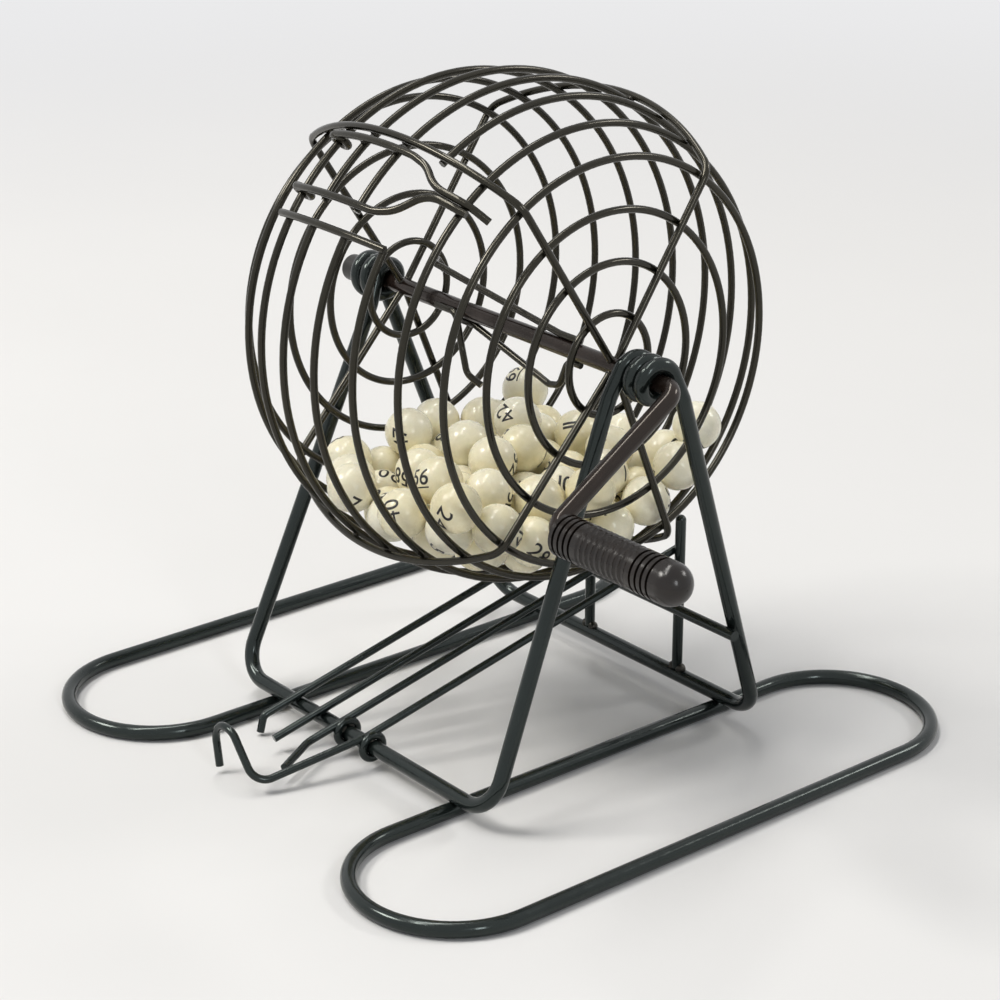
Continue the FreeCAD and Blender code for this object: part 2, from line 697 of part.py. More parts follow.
def ball_centres():
    """Loose balls heaped in the bottom of the cage, as (x, y, height from the axle).

    They start on a scattered grid, sink, are shaken less and less, and are kept apart.
    """
    scatter = Scatter(7)
    pitch = BALL_DIAMETER + 1.1
    side = 5
    centres = []
    for count in range(BALL_COUNT):
        column = count % side - (side - 1) / 2
        row = count // side % side - (side - 1) / 2
        layer = count // (side * side)
        start = (column * pitch, row * pitch, layer * pitch - 0.7 * CROWN_RADIUS)
        centres.append([value + scatter.next(5) for value in start])
    room = BALL_DIAMETER / 2 + CAGE_R + RING_INSET + WALL_GAP
    eye_x, eye_ring = -ring_places()[1][0], ring_places()[1][1]
    eye_room = BALL_DIAMETER / 2 + EYE_RADIUS + CAGE_R + WALL_GAP
    for step in range(SETTLE_STEPS):
        left = 1 - step / SETTLE_STEPS
        shake = 2 * left if left > 0.4 else 0
        for centre in centres:
            centre[0] += scatter.next(shake)
            centre[1] += scatter.next(shake)
            centre[2] -= 0.6 * left
        part_balls(centres, BALL_DIAMETER + BALL_GAP)
        for centre in centres:
            keep_off_eyes(centre, eye_x, eye_ring, eye_room)
            keep_in_barrel(centre, RIB_FACE_X - room, BARREL_RADIUS - room)
    return centres


def balls():
    solids = []
    for x, y, z in ball_centres():
        solids.append(Part.makeSphere(BALL_DIAMETER / 2, Vector(x, y, AXLE_HEIGHT + z)))
    return Part.makeCompound(solids)


# ---------------------------------------------------------------- the assembly
def cage_rings():
    """All the rings by name: the far half is the left side, the near half the crank side."""
    pieces = {}
    for count, (x, radius) in enumerate(ring_places()):
        far_open = count == 0
        near_open = count in (0, 1)
        pieces["ring_left_%d" % (count + 1)] = (cut_ring if far_open else ring)(-x, radius)
        pieces["ring_right_%d" % (count + 1)] = (cut_ring if near_open else ring)(x, radius)
    return pieces


def door_pieces():
    first_x = ring_places()[0][0]
    turn_x = ring_places()[1][0] - DOOR_TURN_BACK
    middle = (DOOR_TOP_ANGLE + DOOR_LOW_ANGLE) / 2 - TONGUE_SHIFT
    tip_radius = barrel_radius(door_span()[1] + TONGUE_REACH)
    half_gap = math.degrees((CAGE_R + WELD_GAP) / tip_radius)
    return {
        "door_upper_rod": door_rod(DOOR_TOP_ANGLE, middle - half_gap, turn_x, True),
        "door_lower_rod": door_rod(DOOR_LOW_ANGLE, middle + half_gap, turn_x, False),
        "door_slat_left": door_slat(-first_x),
        "door_slat_right": door_slat(first_x),
    }


def all_pieces():
    pieces = {
        "front_leg_frame": leg_frame(FRONT_FOOT_Y),
        "rear_leg_frame": leg_frame(REAR_FOOT_Y),
        "apex_coil_left": apex_coil(-1),
        "apex_coil_right": apex_coil(1),
        "base_loop_left": base_loop(-1),
        "base_loop_right": base_loop(1),
        "upper_rear_bar": upper_bar(),
        "chute_left_rail": left_rail(),
        "chute_floor_rail_left": floor_rail_left(),
        "chute_floor_rail_right": floor_rail_right(),
        "chute_right_rail_and_stop": right_rail(),
        "chute_post_left": post(0, -1),
        "chute_post_right": post(3, 1),
        "bingo_balls": balls(),
        "crank_shaft": crank_shaft(),
        "axle_end_cap": axle_cap(),
        "door_sill_bar": door_sill(),
        "crank_grip": grip(),
    }
    for angle in RIB_ANGLES:
        pieces["cage_rib_%d" % angle] = rib(angle)
    pieces.update(cage_rings())
    pieces.update(selector_pieces())
    pieces.update(door_pieces())
    return pieces


os.makedirs("parts", exist_ok=True)
for name, shape in all_pieces().items():
    shape.exportStep("parts/" + name + ".step")
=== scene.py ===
"""Looks of the bingo cage: enamelled wire, weld beads, a moulded grip and printed balls.

Everything is in metres, in the frame of the CAD model.
"""

import json
import math
import random

import bmesh
import bpy
import numpy as np
from mathutils import Matrix, Vector
from mathutils.bvhtree import BVHTree


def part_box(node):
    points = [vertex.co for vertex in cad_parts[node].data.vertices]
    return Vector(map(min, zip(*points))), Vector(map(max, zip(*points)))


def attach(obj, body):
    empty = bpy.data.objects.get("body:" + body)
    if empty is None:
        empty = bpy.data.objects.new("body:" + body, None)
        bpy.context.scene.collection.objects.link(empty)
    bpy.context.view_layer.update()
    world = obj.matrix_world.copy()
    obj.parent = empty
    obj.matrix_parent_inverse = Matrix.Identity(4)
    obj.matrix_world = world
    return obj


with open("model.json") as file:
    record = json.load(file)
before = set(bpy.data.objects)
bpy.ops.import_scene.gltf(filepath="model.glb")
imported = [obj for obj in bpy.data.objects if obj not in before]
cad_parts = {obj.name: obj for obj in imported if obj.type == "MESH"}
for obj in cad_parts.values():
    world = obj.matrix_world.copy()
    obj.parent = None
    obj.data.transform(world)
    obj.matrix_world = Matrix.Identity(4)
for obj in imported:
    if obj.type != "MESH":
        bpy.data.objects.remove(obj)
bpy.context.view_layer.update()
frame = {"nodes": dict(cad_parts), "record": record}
NODES = frame["nodes"]
BODIES = frame["record"]["behaviour"]["bodies"]
SLOT_OF_NODE = {part["node"]: part["material_slot"] for part in frame["record"]["subparts"]}
MM = 0.001

# ---------------------------------------------------------------- camera
CAMERA_PLACE = Vector((0.6157, -0.5076, 0.3978))
CAMERA_YAW = 50.6           # degrees from -Y towards +X
CAMERA_PITCH = 22.0         # degrees down
CAMERA_LENS = 95.0          # focal length and sensor width are in millimetres
SENSOR_WIDTH = 36.0

yaw = math.radians(CAMERA_YAW)
pitch = math.radians(CAMERA_PITCH)
back = Vector((
    math.sin(yaw) * math.cos(pitch),
    -math.cos(yaw) * math.cos(pitch),
    math.sin(pitch),
))
camera = bpy.data.objects.new("camera", bpy.data.cameras.new("camera"))
camera.data.lens = CAMERA_LENS
camera.data.sensor_width = SENSOR_WIDTH
camera.location = CAMERA_PLACE
camera.rotation_mode = "QUATERNION"
camera.rotation_quaternion = (-back).to_track_quat("-Z", "Y")
bpy.context.scene.collection.objects.link(camera)
bpy.context.scene.camera = camera


# ---------------------------------------------------------------- material helpers
NOISE_LOW = 0.3             # most of a noise lies between these two values
NOISE_HIGH = 0.7
MIX_FACTOR = 0              # a Mix node's sockets when it mixes colours
MIX_FIRST = 6
MIX_SECOND = 7
MIX_RESULT = 2


class Shader:
    """One node material, built from object coordinates."""

    def __init__(self, name):
        self.material = bpy.data.materials.new(name)
        self.material.use_nodes = True
        self.tree = self.material.node_tree
        self.tree.nodes.clear()
        self.output = self.add("ShaderNodeOutputMaterial")
        self.place = self.add("ShaderNodeTexCoord").outputs["Object"]

    def add(self, kind, **settings):
        node = self.tree.nodes.new(kind)
        for key, value in settings.items():
            setattr(node, key, value)
        return node

    def join(self, source, target):
        self.tree.links.new(source, target)

    def feed(self, value, target):
        """Give an input either another node's socket or a constant."""
        if isinstance(value, bpy.types.NodeSocket):
            self.join(value, target)
        else:
            target.default_value = value

    def noise(self, scale, detail, roughness):
        """Noise between 0 and 1; scale is in cells per metre."""
        node = self.add("ShaderNodeTexNoise")
        node.inputs["Scale"].default_value = scale
        node.inputs["Detail"].default_value = detail
        node.inputs["Roughness"].default_value = roughness
        self.join(self.place, node.inputs["Vector"])
        return node.outputs["Fac"]

    def ramp(self, source, stops):
        """Colour ramp; each stop is (position, colour)."""
        node = self.add("ShaderNodeValToRGB")
        elements = node.color_ramp.elements
        while len(elements) < len(stops):
            elements.new(0.5)
        for element, (position, colour) in zip(elements, stops):
            element.position = position
            element.color = (*colour, 1.0)
        self.join(source, node.inputs["Fac"])
        return node.outputs["Color"]

    def spread(self, source, low, high):
        """Map the range where most of a noise lies to low..high."""
        node = self.add("ShaderNodeMapRange")
        node.inputs["From Min"].default_value = NOISE_LOW
        node.inputs["From Max"].default_value = NOISE_HIGH
        node.inputs["To Min"].default_value = low
        node.inputs["To Max"].default_value = high
        self.join(source, node.inputs["Value"])
        return node.outputs["Result"]

    def mix(self, factor, first, second, blend="MIX"):
        """Mix a colour socket with a socket or a colour; factor is a socket or a number."""
        node = self.add("ShaderNodeMix", data_type="RGBA", blend_type=blend)
        self.feed(factor, node.inputs[MIX_FACTOR])
        self.join(first, node.inputs[MIX_FIRST])
        if not isinstance(second, bpy.types.NodeSocket):
            second = (*second, 1.0)
        self.feed(second, node.inputs[MIX_SECOND])
        return node.outputs[MIX_RESULT]

    def combine(self, operation, first, second):
        """One step of arithmetic on two sockets, or on a socket and a number."""
        node = self.add("ShaderNodeMath", operation=operation)
        self.feed(first, node.inputs[0])
        self.feed(second, node.inputs[1])
        return node.outputs[0]

    def bump(self, height, distance, strength, normal=None):
        node = self.add("ShaderNodeBump")
        node.inputs["Strength"].default_value = strength
        node.inputs["Distance"].default_value = distance
        self.join(height, node.inputs["Height"])
        if normal is not None:
            self.join(normal, node.inputs["Normal"])
        return node.outputs["Normal"]

    def finish(self, colour, roughness, normal=None, **constants):
        """The surface; a constant's name is its socket's, with _ for each space."""
        node = self.add("ShaderNodeBsdfPrincipled")
        self.join(colour, node.inputs["Base Color"])
        self.join(roughness, node.inputs["Roughness"])
        if normal is not None:
            self.join(normal, node.inputs["Normal"])
        for key, value in constants.items():
            node.inputs[key.replace("_", " ")].default_value = value
        self.join(node.outputs["BSDF"], self.output.inputs["Surface"])
        return self.material


def seen_rays(tree):
    """A socket that is 1 for the rays in which the backdrop is seen, and 0 for those that light."""
    ray = tree.nodes.new("ShaderNodeLightPath").outputs
    seen = ray["Is Camera Ray"]
    for kind in ("Is Glossy Ray", "Is Transmission Ray"):
        either = tree.nodes.new("ShaderNodeMath")
        either.operation = "MAXIMUM"
        tree.links.new(seen, either.inputs[0])
        tree.links.new(ray[kind], either.inputs[1])
        seen = either.outputs[0]
    return seen


# ---------------------------------------------------------------- materials
# noises: cells per metre, detail, roughness
ENAMEL_TONE = (38, 5, 0.6)
ENAMEL_GLOSS = (210, 4, 0.6)
ENAMEL_PEEL = (900, 2, 0.5)
ENAMEL_SAGS = (150, 2, 0.5)
DUST_SPECKS = (2600, 2, 0.5)
DUST_PATCHES = (120, 4, 0.6)
MOULD_TONE = (85, 5, 0.65)
MOULD_GLOSS = (420, 4, 0.6)
MOULD_GRAIN = (3800, 2, 0.6)
MOULD_WAVES = (260, 2, 0.5)
BALL_CLOUDS = (130, 4, 0.6)
BALL_SCUFFS = (1500, 3, 0.7)
BALL_SCUFF_PATCHES = (200, 3, 0.6)
BALL_GLOSS = (500, 3, 0.5)
BALL_DENTS = (700, 3, 0.6)
INK_WEAR = (1900, 4, 0.7)
INK_GLOSS = (900, 3, 0.6)

# what a noise is spread to; below 0 is clean
SPECK_SPREAD = (-0.3, 0.25)
PATCH_SPREAD = (0.0, 1.0)
SCUFF_SPREAD = (-0.8, 1.0)
SCUFF_PATCH_SPREAD = (-0.5, 1.0)

# strengths and depths of the bumps
SOFT_BUMP = 0.6
FIRM_BUMP = 0.7
PEEL_DEPTH = 0.02 * MM
SAG_DEPTH = 0.12 * MM
GRIP_GRAIN_DEPTH = 0.03 * MM
CAP_GRAIN_DEPTH = 0.04 * MM
MOULD_WAVE_DEPTH = 0.2 * MM
BALL_DENT_DEPTH = 0.05 * MM

# roughness, from the glossiest patch to the dullest
WIRE_ROUGHNESS = (0.09, 0.22)
WELD_ROUGHNESS = (0.20, 0.38)
GRIP_ROUGHNESS = (0.12, 0.24)
CAP_ROUGHNESS = (0.28, 0.45)
BALL_ROUGHNESS = (0.2, 0.32)
INK_ROUGHNESS = (0.3, 0.5)
SCUFF_ROUGHNESS = 0.25      # what a full scuff adds to a ball's

SHINE = 0.45                # specular level of the enamel and the moulded plastics
TONE_LOW = 0.32             # the enamel is at its darkest and lightest at these noise values
TONE_HIGH = 0.68
DUST_COLOUR = (0.055, 0.052, 0.043)
BALL_SHADES = ((0.0, (0.95, 0.89, 0.66)), (0.5, (0.96, 0.93, 0.79)), (1.0, (0.95, 0.87, 0.60)))
BALL_CLOUD_SHADES = ((0.35, (0.96, 0.94, 0.87)), (0.7, (1.0, 1.0, 1.0)))
SCUFF_COLOUR = (0.62, 0.52, 0.34)
SCUFF_SHARE = 0.22          # share of that colour in a full scuff
BALL_SCATTER = 0.12
BALL_SCATTER_REACH = (3.0 * MM, 2.4 * MM, 1.5 * MM)
BALL_COAT = 0.2
INK_SHADES = ((0.62, (0.014, 0.013, 0.013)), (0.82, (0.19, 0.17, 0.13)))


def enamel(name, dark, light, tint, gloss=WIRE_ROUGHNESS):
    """Stoved enamel on wire: orange peel, uneven gloss, faint dust on what faces up."""
    shader = Shader(name)
    tone = shader.ramp(shader.noise(*ENAMEL_TONE), [(TONE_LOW, dark), (TONE_HIGH, light)])
    normal = shader.add("ShaderNodeNewGeometry").outputs["Normal"]
    parts = shader.add("ShaderNodeSeparateXYZ")
    shader.join(normal, parts.inputs["Vector"])
    upward = shader.combine("MAXIMUM", parts.outputs["Z"], 0.0)
    specks = shader.spread(shader.noise(*DUST_SPECKS), *SPECK_SPREAD)
    patches = shader.spread(shader.noise(*DUST_PATCHES), *PATCH_SPREAD)
    settled = shader.combine("MULTIPLY", upward, patches)
    settled = shader.combine("MULTIPLY", settled, specks)
    settled = shader.combine("MAXIMUM", settled, 0.0)
    colour = shader.mix(settled, tone, DUST_COLOUR)
    roughness = shader.spread(shader.noise(*ENAMEL_GLOSS), *gloss)
    roughness = shader.combine("ADD", roughness, settled)
    peel = shader.bump(shader.noise(*ENAMEL_PEEL), PEEL_DEPTH, SOFT_BUMP)
    sags = shader.bump(shader.noise(*ENAMEL_SAGS), SAG_DEPTH, SOFT_BUMP, peel)
    return shader.finish(
        colour, roughness, sags,
        Specular_IOR_Level=SHINE,
        Specular_Tint=(*tint, 1.0),
    )


def moulded(name, dark, light, gloss, grain):
    """Injection-moulded plastic with a fine spark-eroded grain."""
    shader = Shader(name)
    colour = shader.ramp(shader.noise(*MOULD_TONE), [(NOISE_LOW, dark), (NOISE_HIGH, light)])
    roughness = shader.spread(shader.noise(*MOULD_GLOSS), *gloss)
    fine = shader.bump(shader.noise(*MOULD_GRAIN), grain, FIRM_BUMP)
    broad = shader.bump(shader.noise(*MOULD_WAVES), MOULD_WAVE_DEPTH, SOFT_BUMP, fine)
    return shader.finish(colour, roughness, broad, Specular_IOR_Level=SHINE)


def ball_plastic():
    """Ivory celluloid-like plastic, each ball a shade of its own, with faint scuffs."""
    shader = Shader("ball_ivory")
    ball = shader.add("ShaderNodeNewGeometry").outputs["Random Per Island"]
    shade = shader.ramp(ball, BALL_SHADES)
    cloud = shader.ramp(shader.noise(*BALL_CLOUDS), BALL_CLOUD_SHADES)
    colour = shader.mix(1.0, shade, cloud, "MULTIPLY")
    scuffs = shader.spread(shader.noise(*BALL_SCUFFS), *SCUFF_SPREAD)
    scuffs = shader.combine("MAXIMUM", scuffs, 0.0)
    patches = shader.spread(shader.noise(*BALL_SCUFF_PATCHES), *SCUFF_PATCH_SPREAD)
    scuffs = shader.combine("MULTIPLY", scuffs, patches)
    scuffs = shader.combine("MAXIMUM", scuffs, 0.0)
    share = shader.combine("MULTIPLY", scuffs, SCUFF_SHARE)
    colour = shader.mix(share, colour, SCUFF_COLOUR)
    roughness = shader.spread(shader.noise(*BALL_GLOSS), *BALL_ROUGHNESS)
    dullness = shader.combine("MULTIPLY", scuffs, SCUFF_ROUGHNESS)
    roughness = shader.combine("ADD", roughness, dullness)
    normal = shader.bump(shader.noise(*BALL_DENTS), BALL_DENT_DEPTH, FIRM_BUMP)
    return shader.finish(
        colour, roughness, normal,
        Subsurface_Weight=BALL_SCATTER,
        Subsurface_Radius=BALL_SCATTER_REACH,
        Subsurface_Scale=1.0,
        Coat_Weight=BALL_COAT,
    )


def ink():
    """Printed black, a little worn."""
    shader = Shader("ball_ink")
    colour = shader.ramp(shader.noise(*INK_WEAR), INK_SHADES)
    return shader.finish(colour, shader.spread(shader.noise(*INK_GLOSS), *INK_ROUGHNESS))


WELD_ENAMEL = enamel(
    "weld_enamel",
    dark=(0.004, 0.004, 0.004), light=(0.011, 0.010, 0.008), tint=(1.0, 0.95, 0.84),
    gloss=WELD_ROUGHNESS,
)
BALL_INK = ink()
MATERIAL_OF_SLOT = {
    "stand_wire": enamel(
        "stand_enamel",
        dark=(0.004, 0.006, 0.006), light=(0.011, 0.015, 0.014), tint=(0.88, 1.0, 0.97),
    ),
    "cage_wire": enamel(
        "cage_enamel",
        dark=(0.005, 0.005, 0.004), light=(0.013, 0.012, 0.008), tint=(1.0, 0.94, 0.78),
    ),
    "crank_steel": enamel(
        "crank_enamel",
        dark=(0.007, 0.005, 0.004), light=(0.018, 0.011, 0.009), tint=(1.0, 0.90, 0.82),
    ),
    "grip_plastic": moulded(
        "grip_plastic",
        dark=(0.006, 0.004, 0.003), light=(0.016, 0.011, 0.008),
        gloss=GRIP_ROUGHNESS, grain=GRIP_GRAIN_DEPTH,
    ),
    "cap_plastic": moulded(
        "cap_plastic",
        dark=(0.010, 0.009, 0.008), light=(0.022, 0.020, 0.017),
        gloss=CAP_ROUGHNESS, grain=CAP_GRAIN_DEPTH,
    ),
    "ball_plastic": ball_plastic(),
}

for node in NODES.values():
    for slot in node.material_slots:
        slot.material = MATERIAL_OF_SLOT[SLOT_OF_NODE[node.name]]


def new_piece(name, mesh, body, material):
    """Put a finished mesh in the scene as a piece that rides on a body."""
    piece = bpy.data.objects.new(name, mesh)
    bpy.context.scene.collection.objects.link(piece)
    mesh.materials.append(material)
    for face in mesh.polygons:
        face.use_smooth = True
    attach(piece, body)


# ---------------------------------------------------------------- weld beads
WELD_REACH = 0.12 * MM      # wires this close are welded
WELD_SPREAD = 3.5 * MM      # touching points this close belong to one weld
WELD_SEED = 5
BEAD_SHARE = 1.0            # radius of a bead, as a share of the thinner wire's
HUB_BEAD_SHARE = 1.05
BEAD_UNEVEN = 0.12          # how much a bead is stretched or flattened along each axis
BEAD_RIPPLE = 0.05          # height of its ripples, as a share of its radius
WIRE_RADII = {              # in millimetres, by the start of a node's name
    "front_leg": 2.5,
    "rear_leg": 2.5,
    "apex_coil": 2.5,
    "base_loop": 2.5,
    "upper_rear": 1.8,
    "chute_post": 1.8,
    "chute": 1.3,
    "ring": 1.2,
    "cage_rib": 1.2,
    "door": 1.2,
    "crank_shaft": 2.8,
    "selector": 1.1,
}


def wire_radius(name):
    found = [radius for start, radius in WIRE_RADII.items() if name.startswith(start)]
    return found[0] * MM


def near(first, second):
    """True if the boxes of two nodes overlap, with the weld reach added."""
    low_a, high_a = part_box(first)
    low_b, high_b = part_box(second)
    return all(
        low_a[i] - WELD_REACH < high_b[i] and low_b[i] - WELD_REACH < high_a[i]
        for i in range(3)
    )


def touching_places(first, second, trees):
    """Middles of the places where two nodes nearly touch."""
    groups = []
    for vertex in NODES[first].data.vertices:
        found = trees[second].find_nearest(vertex.co, WELD_REACH)
        if found[0] is None:
            continue
        place = (vertex.co + found[0]) / 2
        for group in groups:
            if (group[0] - place).length < WELD_SPREAD:
                group.append(place)
                break
        else:
            groups.append([place])
    return [sum(group, Vector()) / len(group) for group in groups]


def bead(mesh, centre, size, draw):
    """A small lump of weld metal under the paint."""
    stretch = [size * draw.uniform(1 - BEAD_UNEVEN, 1 + BEAD_UNEVEN) for _ in range(3)]
    matrix = Matrix.Translation(centre) @ Matrix.Diagonal((*stretch, 1.0))
    made = bmesh.ops.create_icosphere(mesh, subdivisions=3, radius=1.0, matrix=matrix)
    wave = draw.uniform(0, math.tau)
    for vertex in made["verts"]:
        offset = vertex.co - centre
        around = 3 * math.atan2(offset.y, offset.x) + wave
        ripple = math.sin(around) * math.cos(4 * offset.z / size)
        vertex.co = centre + offset * (1 + BEAD_RIPPLE * ripple)


def weld_beads(name, body, pairs, share=BEAD_SHARE):
    """Make all the beads between the given node pairs of one body, as one piece."""
    trees = {}
    for node_name in sorted({end for pair in pairs for end in pair}):
        data = NODES[node_name].data
        corners = [vertex.co.copy() for vertex in data.vertices]
        faces = [tuple(face.vertices) for face in data.polygons]
        trees[node_name] = BVHTree.FromPolygons(corners, faces)
    draw = random.Random(WELD_SEED)
    mesh = bmesh.new()
    for first, second in pairs:
        size = share * min(wire_radius(first), wire_radius(second))
        for place in touching_places(first, second, trees):
            bead(mesh, place, size, draw)
    data = bpy.data.meshes.new(name)
    mesh.to_mesh(data)
    mesh.free()
    new_piece(name, data, body, WELD_ENAMEL)


def close_pairs(body, skipped=()):
    """Pairs of a body's nodes that may touch, without the nodes whose names start as in skipped."""
    names = sorted(name for name in BODIES[body] if not name.startswith(skipped))
    return [
        (first, second)
        for place, first in enumerate(names)
        for second in names[place + 1:]
        if near(first, second)
    ]


cage_pairs = close_pairs("cage", ("axle_end_cap",))
ring_pairs = [pair for pair in cage_pairs if any(name.startswith("ring") for name in pair)]
hub_pairs = [pair for pair in cage_pairs if pair not in ring_pairs]
weld_beads("weld_beads_rings", "cage", ring_pairs)
weld_beads("weld_beads_hub", "cage", hub_pairs, HUB_BEAD_SHARE)
# an apex coil runs on from its two legs as one bent wire, with no weld between them
stand_pairs = [
    pair for pair in close_pairs("stand", ("bingo_balls",))
    if not any("apex" in name for name in pair)
]
weld_beads("weld_beads_stand", "stand", stand_pairs)
weld_beads("weld_beads_door", "door", close_pairs("door"))


# ---------------------------------------------------------------- balls and their numbers
DIGIT_HEIGHT = 5.2 * MM
CAP_HEIGHT_SHARE = 0.7      # height of a digit as a share of the font's size
DIGIT_GAP = 0.55 * MM
DIGIT_BOLD = 0.06 * MM      # added round each stroke
DIGIT_STEP = 0.6 * MM       # longest run of a digit's faces over the ball
CURVE_STEPS = 4             # straight runs in each curve of a digit's outline
INK_PROUD = 0.03 * MM
INK_SUNK = 0.05 * MM
UNDERLINE_DROP = 1.0 * MM
UNDERLINE_THICK = 0.45 * MM
NUMBER_SEED = 21
SAME_PLACE = 0.001 * MM     # vertices this close are one point of a ball
SAME_CORNER = 0.0001 * MM   # and these are one corner of a digit


def ball_spheres():
    """Centre and radius of every ball of the heap, from its mesh's separate shells."""
    data = NODES["bingo_balls"].data
    count = len(data.vertices)
    places = np.empty(count * 3, np.float32)
    data.vertices.foreach_get("co", places)
    places = places.reshape(-1, 3)
    # vertices are split at normals, so equal places are one point first
    keys = np.round(places / SAME_PLACE).astype(np.int64)
    _, welded = np.unique(keys, axis=0, return_inverse=True)
    welded = welded.reshape(-1)
    edges = np.empty(len(data.edges) * 2, np.int64)
    data.edges.foreach_get("vertices", edges)
    edges = welded[edges.reshape(-1, 2)]
    # each point takes the lowest label in reach, until a shell has one label
    label = np.arange(welded.max() + 1)
    while True:
        lowest = np.minimum(label[edges[:, 0]], label[edges[:, 1]])
        fresh = label.copy()
        np.minimum.at(fresh, edges[:, 0], lowest)
        np.minimum.at(fresh, edges[:, 1], lowest)
        fresh = fresh[fresh]
        if np.array_equal(fresh, label):
            break
        label = fresh
    spheres = []
    of_vertex = label[welded]
    for shell in np.unique(of_vertex):
        points = places[of_vertex == shell]
        low, high = points.min(0), points.max(0)
        centre = Vector(((low + high) / 2).tolist())
        spheres.append((centre, float((high - low).max()) / 2))
    return sorted(spheres, key=lambda ball: [round(value, 4) for value in ball[0]])


def digit_mesh(text):
    """One digit as a thin prism in its own plane, cut finely enough to bend over a ball."""
    curve = bpy.data.curves.new("digit", "FONT")
    curve.body = text
    curve.size = DIGIT_HEIGHT / CAP_HEIGHT_SHARE
    curve.extrude = (INK_PROUD + INK_SUNK) / 2
    # the small triangle in a 4 would close
    curve.offset = 0.0 if text == "4" else DIGIT_BOLD
    curve.resolution_u = CURVE_STEPS
    holder = bpy.data.objects.new("digit", curve)
    bpy.context.scene.collection.objects.link(holder)
    bpy.context.view_layer.update()
    evaluated = holder.evaluated_get(bpy.context.evaluated_depsgraph_get())
    data = bpy.data.meshes.new_from_object(evaluated)
    bpy.data.objects.remove(holder)
    bpy.data.curves.remove(curve)
    mesh = bmesh.new()
    mesh.from_mesh(data)
    bpy.data.meshes.remove(data)
    bmesh.ops.remove_doubles(mesh, verts=mesh.verts, dist=SAME_CORNER)
    return cut_finely(mesh)


def cut_finely(mesh):
    """Slice a flat prism by a grid of planes; gives its points, its faces and its width."""
    low = [min(vertex.co[i] for vertex in mesh.verts) for i in range(3)]
    bmesh.ops.translate(mesh, verts=mesh.verts, vec=-Vector(low))
    high = [max(vertex.co[i] for vertex in mesh.verts) for i in range(3)]
    for axis in (0, 1):
        for step in range(1, int(high[axis] / DIGIT_STEP) + 1):
            place = [0.0, 0.0, 0.0]
            normal = [0.0, 0.0, 0.0]
            place[axis] = step * DIGIT_STEP
            normal[axis] = 1.0
            geometry = mesh.verts[:] + mesh.edges[:] + mesh.faces[:]
            bmesh.ops.bisect_plane(mesh, geom=geometry, plane_co=place, plane_no=normal)
    mesh.verts.index_update()
    points = [vertex.co.copy() for vertex in mesh.verts]
    faces = [[vertex.index for vertex in face.verts] for face in mesh.faces]
    mesh.free()
    return points, faces, high[0]


def underline_mesh(width):
    """The line under a number that could be read either way up."""
    mesh = bmesh.new()
    matrix = Matrix.Diagonal((width, UNDERLINE_THICK, INK_PROUD + INK_SUNK, 1.0))
    bmesh.ops.create_cube(mesh, size=1.0, matrix=matrix)
    return cut_finely(mesh)


def number_outline(number, digits):
    """Points and faces of a number, centred in its own plane."""
    points, faces = [], []
    across = 0.0

    def put(shape, x, y):
        start = len(points)
        points.extend(point + Vector((x, y, 0)) for point in shape[0])
        faces.extend([index + start for index in face] for face in shape[1])

    for text in str(number):
        put(digits[text], across, 0)
        across += digits[text][2] + DIGIT_GAP
    width = across - DIGIT_GAP
    if {"6", "9"} & set(str(number)):
        put(underline_mesh(width), 0, -UNDERLINE_DROP)
    middle = Vector((width / 2, DIGIT_HEIGHT / 2, INK_SUNK))
    return [point - middle for point in points], faces


def print_numbers(spheres):
    """Print each ball's number on two opposite sides, bent over its surface."""
    digits = {text: digit_mesh(text) for text in "0123456789"}
    draw = random.Random(NUMBER_SEED)
    numbers = list(range(1, len(spheres) + 1))
    draw.shuffle(numbers)
    points, faces = [], []
    for number, (centre, radius) in zip(numbers, spheres):
        flat, outline = number_outline(number, digits)
        out = Vector((draw.gauss(0, 1), draw.gauss(0, 1), draw.gauss(0, 1))).normalized()
        up = out.orthogonal().normalized()
        up.rotate(Matrix.Rotation(draw.uniform(0, math.tau), 3, out))
        for side in (1, -1):
            facing = out * side
            right = up.cross(facing)
            start = len(points)
            for point in flat:
                along = math.hypot(point.x, point.y)
                turn = along / radius
                if along > 0:
                    sideways = (right * point.x + up * point.y) / along
                else:
                    sideways = right
                direction = facing * math.cos(turn) + sideways * math.sin(turn)
                points.append(centre + direction * (radius + point.z))
            faces.extend([index + start for index in face] for face in outline)
    data = bpy.data.meshes.new("ball_numbers")
    data.from_pydata(points, [], faces)
    data.update()
    new_piece("ball_numbers", data, "stand", BALL_INK)


print_numbers(ball_spheres())


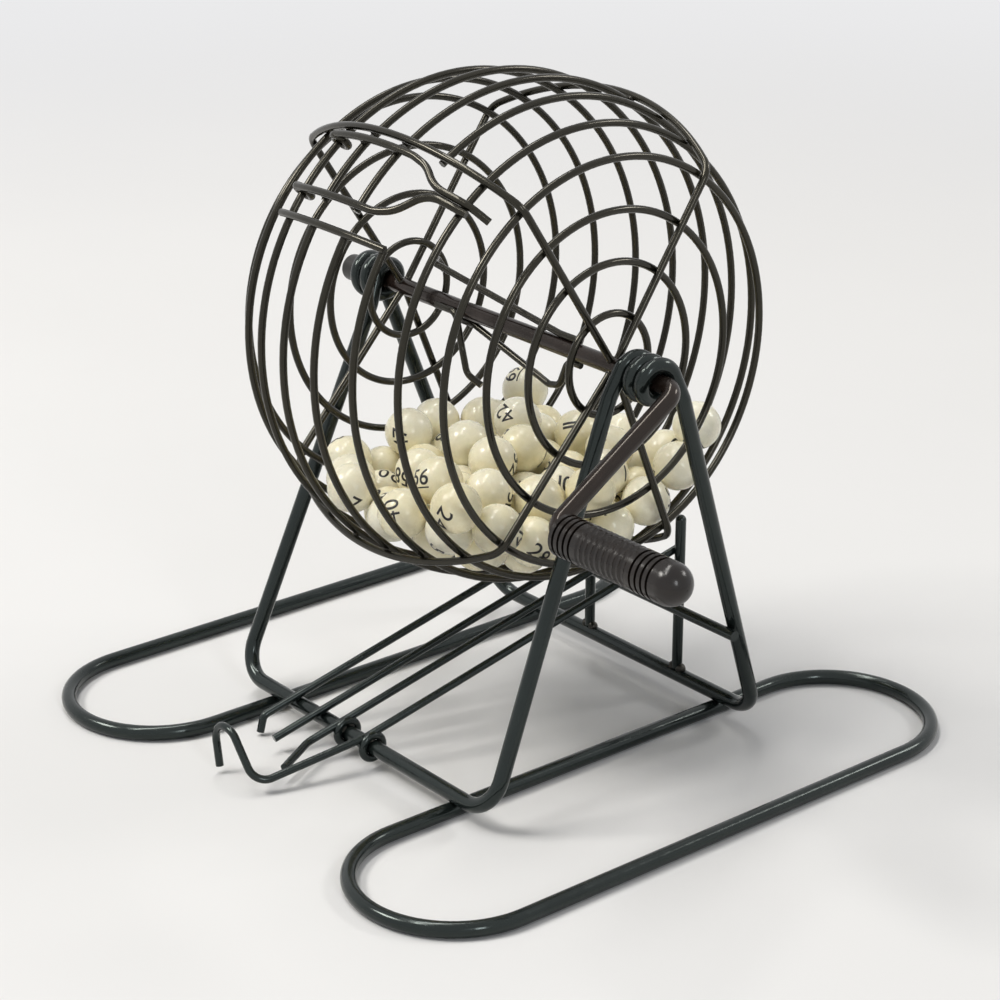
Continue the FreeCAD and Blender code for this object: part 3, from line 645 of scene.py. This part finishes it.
# ---------------------------------------------------------------- floor, lamps and world
FLOOR_SIZE = 24.0
FLOOR_COLOUR = (0.80, 0.80, 0.81)
FLOOR_DARK_SHARE = 0.985    # the floor's darkest cloud, as a share of its colour
FLOOR_CLOUDS = (6, 3, 0.5)  # a noise, as for the materials above
FLOOR_ROUGHNESS = (0.75, 0.85)
FLOOR_SHINE = 0.1
BACKDROP_COLOUR = (0.83, 0.83, 0.84)
BACKDROP_NEAR = 0.45        # the lit floor fades to the plain backdrop between these distances
BACKDROP_FAR = 1.3
WORLD_COLOUR = (0.93, 0.94, 0.95)
WORLD_STRENGTH = 0.26
LAMP_TARGET = (0.0, 0.0, 0.1)
LAMPS = (
    # name, place, width and height, watts, colour
    ("key", (-1.1, -1.5, 2.1), (0.9, 0.6), 36, (1.0, 0.97, 0.91)),
    # long and over the cage, it draws one bright line along the top of each ring
    ("strip", (-0.45, -0.2, 2.0), (2.0, 0.25), 20, (1.0, 0.98, 0.93)),
    ("rim", (0.9, 1.8, 1.5), (0.7, 0.4), 10, (1.0, 0.98, 0.94)),
    ("side", (2.2, -0.6, 1.1), (0.3, 0.8), 8, (0.95, 0.98, 1.0)),
)


def floor_material():
    """Matt paper that takes shadows near the object and is evenly pale further away."""
    shader = Shader("floor_paper")
    cloud = shader.noise(*FLOOR_CLOUDS)
    darkest = tuple(FLOOR_DARK_SHARE * value for value in FLOOR_COLOUR)
    colour = shader.ramp(cloud, [(NOISE_LOW, darkest), (NOISE_HIGH, FLOOR_COLOUR)])
    roughness = shader.spread(cloud, *FLOOR_ROUGHNESS)
    shader.finish(colour, roughness, Specular_IOR_Level=FLOOR_SHINE)
    paper = shader.output.inputs["Surface"].links[0].from_socket
    away = shader.add("ShaderNodeVectorMath", operation="LENGTH")
    shader.join(shader.place, away.inputs[0])
    fade = shader.add("ShaderNodeMapRange", interpolation_type="SMOOTHSTEP")
    fade.inputs["From Min"].default_value = BACKDROP_NEAR
    fade.inputs["From Max"].default_value = BACKDROP_FAR
    shader.join(away.outputs["Value"], fade.inputs["Value"])
    share = shader.combine("MULTIPLY", seen_rays(shader.tree), fade.outputs["Result"])
    plain = shader.add("ShaderNodeEmission")
    plain.inputs["Color"].default_value = (*BACKDROP_COLOUR, 1.0)
    mixed = shader.add("ShaderNodeMixShader")
    shader.join(share, mixed.inputs[0])
    shader.join(paper, mixed.inputs[1])
    shader.join(plain.outputs["Emission"], mixed.inputs[2])
    shader.join(mixed.outputs["Shader"], shader.output.inputs["Surface"])
    return shader.material


def lay_floor():
    """Lay one square of floor round the origin."""
    half = FLOOR_SIZE / 2
    corners = [(-half, -half, 0), (half, -half, 0), (half, half, 0), (-half, half, 0)]
    data = bpy.data.meshes.new("floor")
    data.from_pydata(corners, [], [(0, 1, 2, 3)])
    data.materials.append(floor_material())
    floor = bpy.data.objects.new("floor", data)
    bpy.context.scene.collection.objects.link(floor)


def lamp(name, place, size, power, colour):
    """Hang a soft rectangular studio lamp that looks at the object."""
    data = bpy.data.lights.new(name, "AREA")
    data.shape = "RECTANGLE"
    data.size, data.size_y = size
    data.energy = power
    data.color = colour
    holder = bpy.data.objects.new(name, data)
    holder.location = place
    aim = Vector(LAMP_TARGET) - Vector(place)
    holder.rotation_mode = "QUATERNION"
    holder.rotation_quaternion = aim.to_track_quat("-Z", "Y")
    bpy.context.scene.collection.objects.link(holder)


def studio_world():
    """Soft light from all round, behind the same plain pale backdrop."""
    world = bpy.data.worlds.new("studio")
    world.use_nodes = True
    tree = world.node_tree
    light = tree.nodes["Background"]
    light.inputs["Color"].default_value = (*WORLD_COLOUR, 1.0)
    light.inputs["Strength"].default_value = WORLD_STRENGTH
    backdrop = tree.nodes.new("ShaderNodeBackground")
    backdrop.inputs["Color"].default_value = (*BACKDROP_COLOUR, 1.0)
    mixed = tree.nodes.new("ShaderNodeMixShader")
    tree.links.new(seen_rays(tree), mixed.inputs[0])
    tree.links.new(light.outputs[0], mixed.inputs[1])
    tree.links.new(backdrop.outputs[0], mixed.inputs[2])
    tree.links.new(mixed.outputs[0], tree.nodes["World Output"].inputs["Surface"])
    return world


lay_floor()
for lamp_row in LAMPS:
    lamp(*lamp_row)
bpy.context.scene.world = studio_world()
bpy.context.scene.view_settings.view_transform = "Standard"
